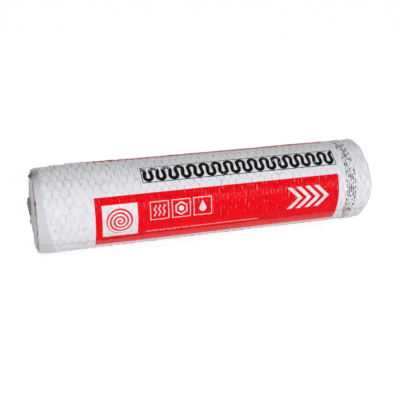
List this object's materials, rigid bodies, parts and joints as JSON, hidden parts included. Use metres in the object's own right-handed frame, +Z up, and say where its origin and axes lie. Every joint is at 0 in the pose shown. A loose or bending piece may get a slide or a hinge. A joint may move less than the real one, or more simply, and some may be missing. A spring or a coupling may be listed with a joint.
{
  "type": "insulation roll",
  "caption": "Roll of stone-wool insulation mat in printed packing film, lying on its side, with a round bore along its axis and the turns of the mat showing in the ends.",
  "frame": {"origin": "on the floor, under the middle of the lying roll", "axes": "+X along the roll, +Z up"},
  "size_m": [1.2022, 0.295, 0.295],
  "materials": {
    "stone_wool": "matte, fibrous",
    "packing_film": "glossy shrunk film, white with red print"
  },
  "bodies": {
    "root": {"wool_roll": "stone_wool", "film_wrap": "packing_film"}
  },
  "joints": []
}
